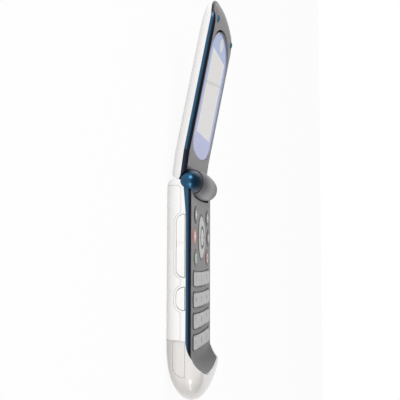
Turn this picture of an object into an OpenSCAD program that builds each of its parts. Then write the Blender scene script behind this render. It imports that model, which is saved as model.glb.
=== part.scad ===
// Clamshell mobile phone, lying on its back with the lid open.
// Millimetres. Origin: centre of the battery cover's flat rest face. X across, Y from chin to lid tip, Z up.
// Most sub-parts are drawn from the hinge: y = 0 is the hinge axis, and the keypad runs towards -y.

/* [Base] */
// Width across the side trims
body_w = 47.2; // [45:0.1:52]
// Hinge axis to the end of the chin
base_reach = 92.8; // [92:0.1:94]
// Rest face to keypad face
base_t = 11.2; // [11:0.1:13]
// Rounding of the long edges of the back
edge_r = 6; // [4:0.1:6.5]
// Rounding of the trims beside the keypad and the display
trim_r = 1.9; // [1.4:0.1:2]
// Width of the trims, seen from the front
trim_w = 1.4; // [1:0.1:1.8]
// Height of the base trims
trim_h = 2.1; // [1.8:0.1:2.4]
// Drop of the base trims' lower edge towards the hinge
trim_drop = 1.05; // [0.6:0.05:1.2]
// Wall of the outer shells
wall = 1.3; // [1:0.05:1.5]
// Hinge axis to the chin cap's seam
chin_seam = 65.3; // [65:0.1:68]
// Rest face to the seam of the battery cover
cover_h = 7; // [6.8:0.1:7.2]

/* [Chin] */
// Height of the chin's lip over the keypad face
lip_h = 4.5; // [3.6:0.1:4.8]
// Radius of the chin's end, seen from above
chin_end_r = 34; // [32:0.5:38]
// Radius of the chin's lip, seen from above
lip_end_r = 56; // [46:0.5:64]
// Radius of the chin's corners, seen from above
chin_corner_r = 11; // [9:0.5:12]
// Radius of the lip's corners, seen from above
lip_corner_r = 7; // [6:0.5:8]
// Hinge axis to the centre of the dished panel
dish_y = 20.5; // [16:0.5:24]
// Radius at which the dished panel starts to rise
dish_r = 54.7; // [54:0.1:55]
// Radius of the dished panel's rise
dish_rise_r = 6.8; // [6.6:0.1:7.4]
// Thickness of the white rim round the dished panel
rim_w = 0.9; // [0.7:0.05:1.2]

/* [Hinge] */
// Keypad face down to the hinge axis
axis_drop = 1.3; // [1:0.05:1.5]
// Radius of the hinge barrel at its middle
barrel_r = 6.3; // [6:0.1:6.5]
// Radius of the hinge barrel at its ends
barrel_end_r = 5.5; // [5.3:0.05:5.7]
// Length of the lid's centre barrel
barrel_w = 34; // [32:0.2:35]
// Radius of the caps beside the barrel
cap_r = 5.3; // [5:0.05:5.4]
// Width across the ends of the caps
caps_w = 50; // [49:0.1:51]
// Radius of the hinge pins
pin_r = 1.5; // [1:0.05:1.8]
// Tilt of the open lid against the keypad face
open_tilt = 11.3; // [5:0.1:20]
// Gap between the lid and what it turns past
hinge_gap = 0.3; // [0.25:0.05:0.4]
// Gap between the caps and the end of the lid
cap_gap = 0.5; // [0.3:0.05:0.6]
// Gap between the barrel and the keypad plate
slot_gap = 0.8; // [0.5:0.05:0.9]

/* [Lid] */
// Hinge axis to the tip of the lid
lid_reach = 82.8; // [82:0.1:83.2]
// Thickness of the lid
lid_t = 7; // [6.8:0.1:8]
// Gap between the closed lid and the keypad face
face_gap = 0.7; // [0.6:0.05:1]
// Hinge axis to the start of the rolled tip
roll_start = 72.7; // [72.4:0.1:73]
// Radius of the rolled tip
roll_r = 11.15; // [10:0.05:12]
// Radius of the lid's tip at its face
face_end_r = 90; // [60:2:140]
// Radius of the lid's corners at its face
face_corner_r = 6; // [4:0.1:8]
// Depth at which the rolled tip ends
roll_depth = 5.2; // [4.8:0.1:5.4]
// Hinge axis to the knee in the lid
knee = 12; // [11:0.1:13]
// Bend of the lid at the knee
knee_tilt = 3.5; // [0:0.1:3.8]
// Radius of the lid's tip, seen from the front
tip_end_r = 33; // [30:0.5:44]
// Radius of the lid's corners, seen from the front
tip_corner_r = 10; // [8:0.5:12]
// Depth of the seam between the lid's frame and shell
part_depth = 2.3; // [2.2:0.05:2.5]
// Height of the thin trim round the tip
band_h = 0.45; // [0.3:0.05:0.6]

/* [Display] */
// Width of the display window
window_w = 41.6; // [38:0.2:41.8]
// Hinge axis to the top of the window
window_top = 68.7; // [68:0.1:69.2]
// Hinge axis to the bottom of the window
window_foot = 12.1; // [11.5:0.1:13]
// Thickness of the window
window_t = 0.8; // [0.6:0.05:0.9]
// Depth of the window's face under the lid's face
window_sink = 0.45; // [0.3:0.05:0.5]
// Width of the screen
screen_w = 29.6; // [26:0.2:32]
// Height of the screen
screen_h = 37; // [34:0.5:40]
// Hinge axis to the middle of the screen
screen_y = 40.7; // [39:0.1:42]
// Height of the earpiece slot at its middle
ear_slot = 1.35; // [0.8:0.05:1.5]
// Across the lid's bumpers
bumper_d = 3.3; // [2.6:0.1:3.6]
// Middle of a bumper to the lid's middle
bumper_x = 18.6; // [17.5:0.1:19]
// Top of the window to the bumpers
bumper_rise = 1.6; // [0.6:0.1:1.9]

/* [Keypad] */
// Height of the keys over the keypad face
key_proud = 0.45; // [0.2:0.05:0.5]
// Travel of a key
key_travel = 0.35; // [0.2:0.01:0.36]
// Gap round a key in its opening
key_gap = 0.25; // [0.2:0.05:0.3]
// Across a round key
round_d = 7.3; // [6:0.1:7.5]
// Middle of the upper and lower round keys to the phone's middle
round_x = 13.4; // [13.2:0.1:14]
// Middle of the centre round keys to the phone's middle
round_mid_x = 15.8; // [15.5:0.1:16.5]
// Hinge axis to the middle of the navigation ring
nav_y = 22.8; // [22.4:0.1:23.2]
// Spacing of the round keys along the phone
round_pitch = 9.15; // [8.8:0.05:9.2]
// Half width of the navigation ring
nav_a = 7.9; // [7:0.1:8]
// Half height of the navigation ring
nav_b = 9.9; // [9:0.1:10]
// Half width of the select key
select_a = 3.5; // [3:0.1:3.7]
// Half height of the select key
select_b = 4.05; // [3.8:0.05:4.3]
// Hinge axis to the first key row
row_y = 38; // [37.8:0.1:38.4]
// Spacing of the key rows
row_pitch = 8.8; // [8.6:0.05:8.9]
// Height of a key row
row_h = 6.3; // [5.6:0.1:6.5]
// Width of a key row
row_w = 36.2; // [34:0.2:37]
// Curvature radius of the key rows
row_curve_r = 180; // [120:5:400]

/* [Side keys] */
// Hinge axis to the upper end of the volume key
volume_y = 14; // [13.6:0.1:15]
// Length of the volume key
volume_len = 25.6; // [22:0.1:25.8]
// Hinge axis to the upper end of the small side key
side_y = 43.8; // [43.4:0.1:46]
// Length of the small side key
side_len = 9.2; // [7:0.1:10]
// Height of the side keys
side_h = 3.4; // [2.8:0.1:3.5]
// Rest face to the side keys
side_z = 5.3; // [5.2:0.05:5.5]
// Corner radius of the side keys
side_r = 3.3; // [2:0.1:3.4]
// How far the side keys stand out
side_proud = 0.45; // [0.3:0.05:0.6]

/* [Connector cover] */
// Chin seam to the cover's upper end
flap_inset = 0.5; // [0.4:0.05:0.8]
// Length of the cover
flap_len = 14; // [12:0.1:14.2]
// Height of the cover
flap_h = 4.95; // [4.5:0.05:5]
// Rest face to the cover
flap_z = 3.9; // [3.8:0.05:4.2]
// Radius of the cover's rounded corner
flap_corner = 4.2; // [3:0.1:4.4]

/* [Inside] */
// Thickness of the circuit board
board_t = 0.8; // [0.6:0.05:0.9]
// Width of the circuit board
board_w = 40.6; // [38:0.2:41]
// Width of the battery
battery_w = 35; // [32:0.2:36]
// Length of the battery
battery_l = 38; // [34:0.2:38.4]
// Thickness of the battery
battery_t = 3.9; // [3.5:0.05:4]
// Radius of a screw's shank
screw_r = 0.7; // [0.5:0.05:0.9]

/* [Hidden] */

// Clearances and small fixed sizes
seat = 0.05;           // between pieces of one body that stand on each other
seam = 0.1;            // between shells that show a line where they meet
skin = 0.01;           // thickness of a plate in a stack of outlines
far = 60;              // reach of a cutting block
stop_gap = 0.15;       // between the open lid's end and the base's end
face_lift = 0.1;       // between a key's flange and the plate over it
half_w = body_w / 2;
inner_w = half_w - trim_w;
barrel_half = barrel_w / 2;
barrel_end_gap = 0.15;
cap_x = barrel_half + barrel_end_gap;
barrel_sag = barrel_r - barrel_end_r;
barrel_arc = (barrel_half * barrel_half + barrel_sag * barrel_sag) / (2 * barrel_sag);
// A cap's outline: an arc that starts level at cap_arc_x, then a ball end that meets it smoothly
cap_arc = 20;
cap_arc_x = 15;
cap_end = caps_w / 2 - cap_arc_x;
cap_low = cap_arc - cap_r;
ball_r = (cap_low * cap_low + cap_end * cap_end - cap_arc * cap_arc) / (2 * (cap_end - cap_arc));
ball_x = cap_arc_x + cap_end - ball_r;
pin_gap = 0.05;         // running clearance of the hinge pins

bumper_y = window_top + bumper_rise;

// Heights in the base, from the rest face
face_z = base_t;
axis_z = face_z - axis_drop;
trim_z = face_z - trim_h;
plate_t = 1.3;
plate_z = face_z - plate_t;
keymat_z = 8.25;
keymat_t = 0.4;
dome_t = 0.15;
dome_z = keymat_z - seat - dome_t;
board_z = dome_z - seat - board_t;
floor_z = 5.4;
floor_t = 1;
shield_t = board_z - floor_z - floor_t - 2 * seat;
stem_z = keymat_z + keymat_t + key_travel + seat;
flange_t = 0.3;
flange_w = 0.5;
flange_z = plate_z - face_lift - flange_t;

// Seams along the base, from the hinge axis
cover_top = 1.9;
cover_corner = 1.8;
cradle_y = barrel_r + 2;
rest_start = 9;
end_r = 4.3;            // rounding of the base's upper end, seen from the side
end_y = 1;
nose_r = 2.85;          // rounding of that end over its foremost point
nose_z = 5.3;
drop_end = 2.2;         // hinge axis to the upper and lower ends of the trims' slope
drop_start = 15;
heel_r = 3.5;           // rounding of the lid's lower end, seen from the side
axis_y = (chin_seam + rest_start) / 2;

// Chin
chin_top = face_z + lip_h;
chin_mid = 8;
chin_back_y = 76.3;
chin_front_y = 81;
chin_lean = 0.075;

// Lid, from the hinge axis: u along the lid, w out of its face
lid_face = -(axis_drop + face_gap);
tip_back = 13;
tip_seam_start = 70.5;
trim_stop = 76;
taper_start = 63.5;     // of the lid trims towards the tip
taper_r = 60;

module place_base() translate([0, axis_y, 0]) children();
module place_lid() translate([0, axis_y, axis_z]) rotate([open_tilt, 0, 0]) children();
module heel_frame() translate([0, knee, lid_face]) rotate([-knee_tilt, 0, 0]) children();

// Extrude a (y, z) outline along x, and an (x, z) outline along y
module along_x(x0, x1) translate([x0, 0, 0]) rotate([90, 0, 90]) linear_extrude(x1 - x0) children();
module along_y(y0, y1) translate([0, y1, 0]) rotate([90, 0, 0]) linear_extrude(y1 - y0) children();
module rod_x(r, x0, x1, n = 64) translate([x0, 0, 0]) rotate([0, 90, 0]) cylinder(r = r, h = x1 - x0, $fn = n);
module block(x0, x1, y0, y1, z0, z1) translate([x0, y0, z0]) cube([x1 - x0, y1 - y0, z1 - z0]);
module mirror_copy() { children(); mirror([1, 0, 0]) children(); }

// Outline of a shell's section: width 2 * w, height t, with its lower and upper corners rounded
module round_foot(w, t, r) intersection() {
  translate([-w, 0]) square([2 * w, t]);
  union() {
    translate([-w + r, 0]) square([2 * (w - r), t]);
    translate([-w, r]) square([2 * w, t]);
    for (s = [-1, 1]) translate([s * (w - r), r]) circle(r, $fn = 96);
  }
}
module section(w, t, foot_r, head_r) intersection() {
  round_foot(w, t, foot_r);
  translate([0, t]) mirror([0, 1]) round_foot(w, t, head_r);
}

// Points of a rounded end at y = e: half width w, end radius re, corner radius rc
function corner_y(w, e, re, rc) = e - re + sqrt(pow(re - rc, 2) - pow(w - rc, 2));
function end_points(w, e, re, rc, nc = 7, ne = 12) =
  let (yc = corner_y(w, e, re, rc), a = asin((w - rc) / (re - rc)), b = 90 - a)
  concat(
    [for (i = [0:nc]) let (t = b * i / nc) [w - rc + rc * cos(t), yc + rc * sin(t)]],
    [for (i = [1:ne - 1]) let (t = b + 2 * a * i / ne) [re * cos(t), e - re + re * sin(t)]],
    [for (i = [0:nc]) let (t = 90 + a + b * i / nc) [rc - w + rc * cos(t), yc + rc * sin(t)]]
  );
module end_outline(w, e, re, rc, y0) polygon(concat(end_points(w, e, re, rc), [[-w, y0], [w, y0]]));

// Oval of four arcs with half axes a and b and end radius r
module oval(a, b, r) {
  c = b - r;
  side_r = (a * a + c * c - r * r) / (2 * (a - r));
  yt = side_r * c / (side_r - r);
  for (s = [-1, 1]) translate([0, s * c]) circle(r, $fn = 96);
  intersection() {
    translate([a - side_r, 0]) circle(side_r, $fn = 180);
    translate([side_r - a, 0]) circle(side_r, $fn = 180);
    translate([-a, -yt]) square([2 * a, 2 * yt]);
  }
}

// Chin: a stack of rounded outlines, drawn in by inset
function chin_w(z) = half_w - edge_r
  + (z < edge_r ? sqrt(edge_r * edge_r - pow(edge_r - z, 2)) : edge_r)
  - (z > trim_z ? chin_lean * pow(z - trim_z, 2) : 0);
function chin_e(s, c) = s < 0
  ? chin_back_y + (base_reach - chin_back_y) * c
  : chin_front_y + (base_reach - chin_front_y) * c;
function chin_z(s) = chin_mid + s * (s < 0 ? chin_mid : chin_top - chin_mid);
module chin_form(inset, y0) hull() for (t = [-90:10:90]) {
  z = chin_z(sin(t));
  k = max(sin(t), 0);
  low = max(min(z, chin_top - inset - skin), inset);
  translate([0, 0, min(low, chin_top - skin)]) linear_extrude(skin) mirror([0, 1])
    end_outline(chin_w(z) - inset, chin_e(sin(t), cos(t)) - inset,
                chin_end_r + (lip_end_r - chin_end_r) * k, chin_corner_r + (lip_corner_r - chin_corner_r) * k, y0);
}

// Space over the keypad face and over the dished panel of the chin
module dish_space() translate([0, -dish_y, 0]) rotate_extrude($fn = 240) {
  translate([0, face_z]) square([dish_r, far]);
  translate([dish_r, face_z + dish_rise_r]) intersection() {
    circle(dish_rise_r, $fn = 96);
    translate([-dish_rise_r / 2, -dish_rise_r]) square([dish_rise_r * 2, dish_rise_r * 2]);
  }
  translate([0, face_z + dish_rise_r]) square([dish_r + dish_rise_r, far]);
}

// Barrel of the hinge, a shallow arc turned about the axis, grown by g
module barrel_form(g, x0, x1) rotate([0, 90, 0]) rotate_extrude($fn = 128) intersection() {
  translate([barrel_r - barrel_arc, 0]) circle(barrel_arc + g, $fn = 1440);
  translate([0, x0]) square([far, x1 - x0]);
}
// Ball-ended caps of the hinge, grown by g and starting at x0
module caps_form(g, x0 = cap_x) mirror_copy() rotate([0, 90, 0]) rotate_extrude($fn = 128) {
  meet = ball_x + (ball_r + g) * (ball_x - cap_arc_x) / (cap_arc - ball_r);
  intersection() {
    translate([cap_r - cap_arc, cap_arc_x]) circle(cap_arc + g, $fn = 360);
    translate([0, x0]) square([far, meet - x0]);
  }
  intersection() {
    translate([0, ball_x]) circle(ball_r + g, $fn = 128);
    translate([0, meet - skin]) square([far, far]);
  }
}
module at_axis() translate([0, 0, axis_z]) children();

// Everything that the base keeps clear round the hinge
module hinge_space() {
  at_axis() {
    barrel_form(hinge_gap, -cap_x, cap_x);
    caps_form(seat, cap_x - seat);
  }
  translate([0, 0, axis_z]) rotate([open_tilt, 0, 0])
    block(-far, far, -stop_gap, far, -far, far);
  block(-far, far, -barrel_end_r * 0.7, far, axis_z + stop_gap, far);
  // Rounding of the end, seen from the side
  along_x(-far, far) difference() {
    translate([end_y - end_r, -1]) square([far, 2 * end_r + 1]);
    translate([end_y - end_r, end_r + seat]) circle(end_r, $fn = 96);
  }
  along_x(-far, far) translate([end_y - nose_r, nose_z]) difference() {
    square(far);
    circle(nose_r, $fn = 96);
  }
}
// Space over the seam under the base trims
module over_trim_seam(g) along_x(-far, far) translate([0, trim_z + g]) polygon([
  [-2 * far, 0], [-drop_start, 0], [-drop_end, -trim_drop], [far, -trim_drop], [far, far], [-2 * far, far]]);

// Side keys, seen from the side
module side_outline(y, len, grow) translate([-y - len / 2, side_z - grow])
  round_foot(len / 2 + grow, side_h + 2 * grow, side_r + grow);

// The part of the side wall that belongs to the rear housing
lobe_w = 1.15;
module frame_zone(grow) {
  translate([-chin_seam, cover_h - grow]) square([chin_seam + far, far]);
  translate([-cover_top - grow, -far]) square([far, 2 * far]);
  translate([-cover_top, cover_h]) difference() {
    translate([-cover_corner, -cover_corner]) square(cover_corner);
    translate([-cover_corner, -cover_corner]) circle(cover_corner - grow, $fn = 64);
  }
}
module lobe_zone(grow) {
  side_outline(volume_y, volume_len, lobe_w + grow);
  side_outline(side_y, side_len, lobe_w + grow);
}

screw_spots = [for (s = [1, -1]) each [[s * (inner_w - 3), -cradle_y - 2.4], [s * 13.5, 14.6 - base_reach]]];
boss_r = 1.7;
floor_end = 64;
bay_y = 22.6;

module rear_housing() color("whitesmoke") place_base() difference() {
  union() {
    intersection() {
      along_y(-chin_seam, end_y) section(half_w, face_z, edge_r, trim_r);
      block(-far, far, -far * 2, far, 0, trim_z);
      union() {
        along_x(-far, far) frame_zone(0);
        along_x(-far, 0) lobe_zone(0);
      }
    }
    block(-inner_w + seat, inner_w - seat, -floor_end + 0.35, -cradle_y, floor_z, cover_h);
    // Cradle under the hinge barrel
    intersection() {
      along_y(-cradle_y, -cover_top + skin) translate([0, wall + seat])
        section(half_w - wall - 2 * seat, far, edge_r - wall, trim_r);
      block(-far, far, -far, far, 0, trim_z);
    }
    for (p = screw_spots) if (p[1] > -chin_seam)
      translate([p[0], p[1], floor_z]) cylinder(r = boss_r, h = board_z - floor_z - seat, $fn = 48);
  }
  difference() {
    block(-inner_w, inner_w, -far * 2, -cradle_y, floor_z + floor_t, far);
    for (p = screw_spots) translate([p[0], p[1], floor_z])
      cylinder(r = boss_r, h = board_z - floor_z - seat, $fn = 48);
  }
  intersection() {
    block(-inner_w, inner_w, -far * 2, -cradle_y, -far, floor_z);
    along_y(-chin_seam - 1, end_y) translate([0, wall]) section(half_w - wall, far, edge_r - wall, trim_r);
  }
  for (p = screw_spots) translate([p[0], p[1], 0]) cylinder(r = screw_r + seat, h = far, $fn = 32);
  along_x(-far, -inner_w + 1) {
    side_outline(volume_y, volume_len, key_gap);
    side_outline(side_y, side_len, key_gap);
  }
  block(-inner_w, -inner_w + 2, -side_y - side_len - 1.2, -volume_y + 1.2, side_z - 0.8, trim_z + 1);
  mirror_copy() intersection() { over_trim_seam(0); block(inner_w - seat, far, -far * 2, far, -far, far); }
  hinge_space();
}

module battery_cover() color("white") place_base() difference() {
  intersection() {
    along_y(-chin_seam + seam, -cover_top - seam) section(half_w, face_z, edge_r, trim_r);
    block(-far, far, -far * 2, far, 0, cover_h - seam);
  }
  along_y(-floor_end - 1 + wall, far) translate([0, wall])
    section(half_w - wall - seat, far, edge_r - wall, trim_r);
  along_x(-far, far) frame_zone(seam);
  along_x(-far, 0) lobe_zone(seam);
  hinge_space();
  // Thumb grip across the lower end
  for (i = [0:3]) translate([0, -chin_seam + 5 + 1.6 * i, -0.35]) rod_x(0.6, -7, 7, 32);
}

// Keys and openings of the keypad, in plan
function round_spots() = [
  [-round_x, -nav_y + round_pitch], [round_x, -nav_y + round_pitch],
  [-round_mid_x, -nav_y], [round_mid_x, -nav_y],
  [-round_x, -nav_y - round_pitch], [round_x, -nav_y - round_pitch]
];
nav_end_r = 6.9;
select_end_r = 3.3;
row_corner_r = 1;
row_rad = row_curve_r;
module row_ring(i) translate([0, row_rad - row_y]) difference() {
  circle(row_rad + row_h - i, $fn = 720);
  circle(row_rad + i, $fn = 720);
}
function row_rise(x, r) = r - sqrt(r * r - x * x);
module row_shape(n, grow) translate([0, -row_pitch * n]) {
  w = row_w / 2 + grow;
  k = row_corner_r;
  intersection() { row_ring(-grow); translate([-w + k, -far * 2]) square([2 * (w - k), far * 2]); }
  intersection() { row_ring(k - grow); translate([-w, -far * 2]) square([2 * w, far * 2]); }
  for (s = [-1, 1]) translate([s * (w - k), 0]) {
    translate([0, -row_y - k + grow + row_rise(w - k, row_rad)]) circle(k, $fn = 32);
    translate([0, -row_y - row_h + k - grow + row_rise(w - k, row_rad)]) circle(k, $fn = 32);
  }
}

rows_end = row_y + 3 * row_pitch + row_h;
mic_y = rows_end + 1.6; // hole of the microphone
mic_can_y = mic_y + 1.1;
mic_r = 2;
// Room for the last key row and its mat beyond the chin's seam
last_row_w = row_w / 2 + 0.9;
last_row_y = rows_end + 0.8;
module last_row_room(z) block(-last_row_w, last_row_w, -last_row_y, -chin_seam + 1, z, plate_z);
module keypad_housing() color("dimgray") place_base() difference() {
  union() {
    block(-inner_w + seat, inner_w - seat, -chin_seam, -2, plate_z, face_z);
    difference() {
      block(-inner_w + seat, inner_w - seat, -chin_seam, -barrel_r, trim_z + seat, plate_z + seat);
      block(-inner_w + seat + 1, inner_w - seat - 1, -chin_seam + 1, far, -far, far);
      block(-far, 0, -side_y - side_len - 1.2, -volume_y + 1.2, -far, side_z + side_h + 0.6);
    }
    intersection() {
      chin_form(rim_w, chin_seam - 3);
      block(-far, far, -far * 2, -chin_seam + 1, plate_z - 0.3, far);
    }
    for (p = screw_spots) if (p[1] > -chin_seam) translate([p[0], p[1], board_z + board_t + seat])
      cylinder(r = boss_r, h = plate_z - board_z - board_t, $fn = 48);
  }
  last_row_room(-far);
  mirror_copy() block(inner_w - seat, far, -chin_seam - 7.35, far, -far, far);
  dish_space();
  hinge_space();
  at_axis() intersection() {
    barrel_form(slot_gap, -barrel_half, barrel_half);
    block(-far, far, -far, 0, -far, far);
  }
  for (p = round_spots()) translate([p[0], p[1], 0]) cylinder(r = round_d / 2 + key_gap, h = far, $fn = 64);
  translate([0, -nav_y, 0]) linear_extrude(far) oval(nav_a + key_gap, nav_b + key_gap, nav_end_r + key_gap);
  linear_extrude(far) for (n = [0:3]) row_shape(n, key_gap);
  for (p = screw_spots) translate([p[0], p[1], 0]) cylinder(r = screw_r, h = plate_z + 0.5, $fn = 32);
  translate([0, -mic_y, 0]) cylinder(r = 0.45, h = far, $fn = 24);
  translate([0, -mic_can_y, 0]) cylinder(r = mic_r + seat, h = plate_z + 0.3, $fn = 48);
}

// Trim beside the keypad: a rounded strip that runs out against the chin
module base_trim() place_base() difference() {
  intersection() {
    along_y(-chin_seam - 7.3, -drop_end) section(half_w, face_z - seat, edge_r, trim_r);
    block(inner_w, far, -far * 2, far, 0, far);
    over_trim_seam(seat);
  }
  trim_run_out(0);
  hinge_space();
}
// Space outside the arc along which the trims run out
run_out_r = 16;
module trim_run_out(g) along_x(-far, far) difference() {
  translate([-chin_seam - far, trim_z - far]) square([far + 0.9, 2 * far]);
  translate([-chin_seam + 0.9, trim_z + run_out_r]) circle(run_out_r - g, $fn = 180);
}
module trim_left() color("steelblue") mirror([1, 0, 0]) base_trim();
module trim_right() color("steelblue") base_trim();

flap_y0 = -chin_seam - flap_inset - flap_len;
flap_y1 = -chin_seam - flap_inset;
flap_x = -half_w + 1.5;
port = [8, 3];          // width and height of the side connector
module flap_outline(g) translate([flap_y0, flap_z]) difference() {
  translate([-g, -g]) square([flap_len + 2 * g, flap_h + 2 * g]);
  difference() {
    translate([-g, -g]) square(flap_corner + g);
    translate([flap_corner, flap_corner]) circle(flap_corner + g, $fn = 96);
  }
}
port_y = (flap_y0 + flap_y1) / 2;
port_z = board_z - seat - port[1] / 2;
cavity_w = 16.5;
module chin_cap() color("gainsboro") place_base() difference() {
  intersection() {
    chin_form(0, chin_seam);
    block(-far, far, -far * 2, -chin_seam, -far, far);
  }
  last_row_room(board_z - 0.3);
  translate([0, -mic_can_y, board_z]) cylinder(r = mic_r + seat, h = far, $fn = 48);
  difference() {
    intersection() {
      chin_form(rim_w - seat, chin_seam - 3);
      block(-far, far, -far * 2, far, plate_z - 0.3 - seat, far);
    }
  }
  mirror_copy() difference() {
    block(inner_w - seat, far, -chin_seam - 7.35, far, trim_z, far);
    trim_run_out(-seat);
  }
  dish_space();
  difference() {
    union() {
      block(-cavity_w, cavity_w, -80, -chin_seam - wall, wall, trim_z);
      block(-cavity_w, cavity_w, -85, -chin_seam + 1, wall * 3, trim_z);
    }
    for (p = screw_spots) translate([p[0], p[1], 0]) cylinder(r = boss_r + 0.3, h = trim_z + 1, $fn = 48);
  }
  for (p = screw_spots) translate([p[0], p[1], -1]) cylinder(r = head_r + 0.1, h = chin_head + 1.9, $fn = 32);
  along_x(-far, flap_x + seat) flap_outline(seam);
  block(-far, -cavity_w + 1, port_y - port[0] / 2 - 0.1, port_y + port[0] / 2 + 0.1,
        port_z - port[1] / 2 - 0.1, port_z + port[1] / 2 + 0.1);
  block(flap_x, flap_x + 1.4, port_y - 3.2, port_y + 3.5, port_z - 1.6, port_z + 1.6);
  for (p = screw_spots) translate([p[0], p[1], 0]) cylinder(r = screw_r + seat, h = far, $fn = 32);
  for (i = [-2:2]) translate([ringer_x + i * 2, ringer_y, -1]) cylinder(r = 0.5, h = far / 2, $fn = 24);
}

module connector_cover() color("lightgray") place_base() {
  intersection() {
    chin_form(0, chin_seam);
    along_x(-far, flap_x) flap_outline(0);
  }
  block(flap_x - seat, flap_x + 1.1, port_y - 2.6, port_y + 2.6, port_z - 1, port_z + 1);
}

// Hinge, drawn from its axis
cap_bore_len = 4.5;
module hinge_cap() place_base() at_axis() difference() {
  intersection() {
    caps_form(0);
    block(0, far, -far, far, -far, far);
  }
  rod_x(pin_r, cap_x - 1, cap_x + cap_bore_len, 64);
}
module hinge_cap_left() color("midnightblue") mirror([1, 0, 0]) hinge_cap();
module hinge_cap_right() color("midnightblue") hinge_cap();

capsule_r = 3.6;
capsule_in = 1.5;       // inner end of the capsule, left of the middle
cam_r = 2.4;
module hinge_shaft() color("silver") place_base() at_axis() {
  rod_x(pin_r, -cap_x - cap_bore_len, -barrel_half + 2.6, 64);
  rod_x(cam_r, -barrel_half + 1.35, -barrel_half + 2.65, 64);
}
module hinge_pin() color("silver") place_base() at_axis()
  rod_x(pin_r, barrel_half - 4.2, cap_x + cap_bore_len, 64);
module hinge_capsule() color("gray") place_lid() difference() {
  rod_x(capsule_r - pin_gap / 2, -barrel_half + 0.1, -capsule_in, 64);
  rod_x(capsule_r - 1, -barrel_half + 1.1, -capsule_in - 1, 64);
  rod_x(pin_r + pin_gap, -barrel_half - 1, 0, 64);
}

// Helical spring in the capsule, swept ring by ring along its helix
spring_r = 1.95;
wire_r = 0.4;
spring_turns = 6;
ring_n = 6;
turn_n = 8;
spring_x0 = -barrel_half + 3.2;
spring_x1 = -capsule_in - 1.6;
function helix(t) = [spring_x0 + (spring_x1 - spring_x0) * t / (360 * spring_turns), spring_r * cos(t), spring_r * sin(t)];
function spring_ring(t) = let (c = helix(t), e = [0, cos(t), sin(t)])
  [for (j = [0:ring_n - 1]) let (a = 360 * j / ring_n) c + wire_r * (cos(a) * e + sin(a) * [1, 0, 0])];
module hinge_spring() color("silver") place_lid() {
  n = spring_turns * turn_n;
  pts = [for (i = [0:n]) each spring_ring(360 * i / turn_n)];
  sides = [for (i = [0:n - 1], j = [0:ring_n - 1])
    let (k = (j + 1) % ring_n, a = i * ring_n, b = a + ring_n)
    each [[a + j, a + k, b + k], [a + j, b + k, b + j]]];
  caps = concat([for (j = [1:ring_n - 2]) [0, j + 1, j]],
                [for (j = [1:ring_n - 2]) [n * ring_n, n * ring_n + j, n * ring_n + j + 1]]);
  polyhedron(pts, concat(sides, caps));
}

// Ribbon that carries the display's lines through the barrel: two loose turns
module hinge_flex() color("orange") place_lid() difference() {
  rod_x(capsule_r - seat, 0.5, 9.5, 48);
  rod_x(capsule_r - 0.3, 0, 10, 48);
  block(0, 10, 0, far, -0.6, 0.6);
}

// Inside the base
mat_x = row_w / 2 - 0.7;
mat_y = nav_y - round_pitch - round_d / 2 - 0.6;
module keymat() color("lightgray") place_base()
  block(-mat_x, mat_x, -last_row_y + 0.3, -mat_y, keymat_z, keymat_z + keymat_t);
module dome_sheet() color("gold") place_base()
  block(-mat_x, mat_x, -last_row_y + 0.4, -mat_y, dome_z, dome_z + dome_t);
module circuit_board() color("darkgreen") place_base() difference() {
  union() {
    block(-board_w / 2, board_w / 2, -chin_seam + 1.3, -cradle_y - 0.4, board_z, board_z + board_t);
    block(-cavity_w + 0.5, cavity_w - 0.5, -mic_can_y - mic_r - 0.5, -chin_seam + 2, board_z, board_z + board_t);
  }
  for (p = screw_spots) translate([p[0], p[1], 0]) cylinder(r = screw_r + 0.15, h = far, $fn = 32);
}
shield_x = board_w / 2 - 6.3;
shield_y = bay_y - 2.6;
shield_l = 24;
shield_wall = 0.2;
module rf_shield() color("silver") place_base() difference() {
  block(-shield_x, shield_x, -shield_y - shield_l, -shield_y, board_z - seat - shield_t, board_z - seat);
  block(-shield_x + shield_wall, shield_x - shield_wall, -shield_y - shield_l + shield_wall, -shield_y - shield_wall,
        board_z - shield_t + shield_wall, board_z);
}
module battery() color("slategray") place_base() union() {
  r = 1.2;
  along_y(-bay_y - battery_l, -bay_y) translate([0, wall + seat]) section(battery_w / 2, battery_t, r, r);
}
sim_x = battery_w / 2 - 4;
sim_l = 11.4;
sim_t = 1.2;
module sim_holder() color("silver") place_base() difference() {
  block(-sim_x, sim_x, -bay_y + 0.6, -bay_y + 0.6 + sim_l, floor_z - seat - sim_t, floor_z - seat);
  block(-sim_x + 0.8, sim_x - 0.8, -bay_y - 1, -bay_y + sim_l - 0.2, floor_z - seat - sim_t + 0.25, floor_z - seat - 0.15);
}
module microphone() color("silver") place_base()
  translate([0, -mic_can_y, board_z + board_t + seat])
    cylinder(r = mic_r, h = plate_z + 0.25 - board_z - board_t - seat, $fn = 48);
ringer_x = 6.5;
ringer_y = -73;
ringer_r = 5.4;
module ringer() color("dimgray") place_base() translate([ringer_x, ringer_y, wall + seat]) difference() {
  cylinder(r = ringer_r, h = 2.6, $fn = 64);
  translate([0, 0, -1]) cylinder(r = ringer_r - 0.8, h = 1.3, $fn = 64);
}
motor_r = 2;
motor_x = 12;
motor_l = 8;
module vibration_motor() color("silver") place_base() translate([0, ringer_y + 1, wall + seat + motor_r]) {
  rod_x(motor_r, -motor_x, -motor_x + motor_l, 48);
  intersection() {
    rod_x(motor_r - 0.1, -motor_x - 2, -motor_x - 0.4, 48);
    block(-motor_x - 3, -motor_x, -far, far, -motor_r / 5, far);
  }
  rod_x(motor_r / 5, -motor_x - 0.5, -motor_x, 24);
}
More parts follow.
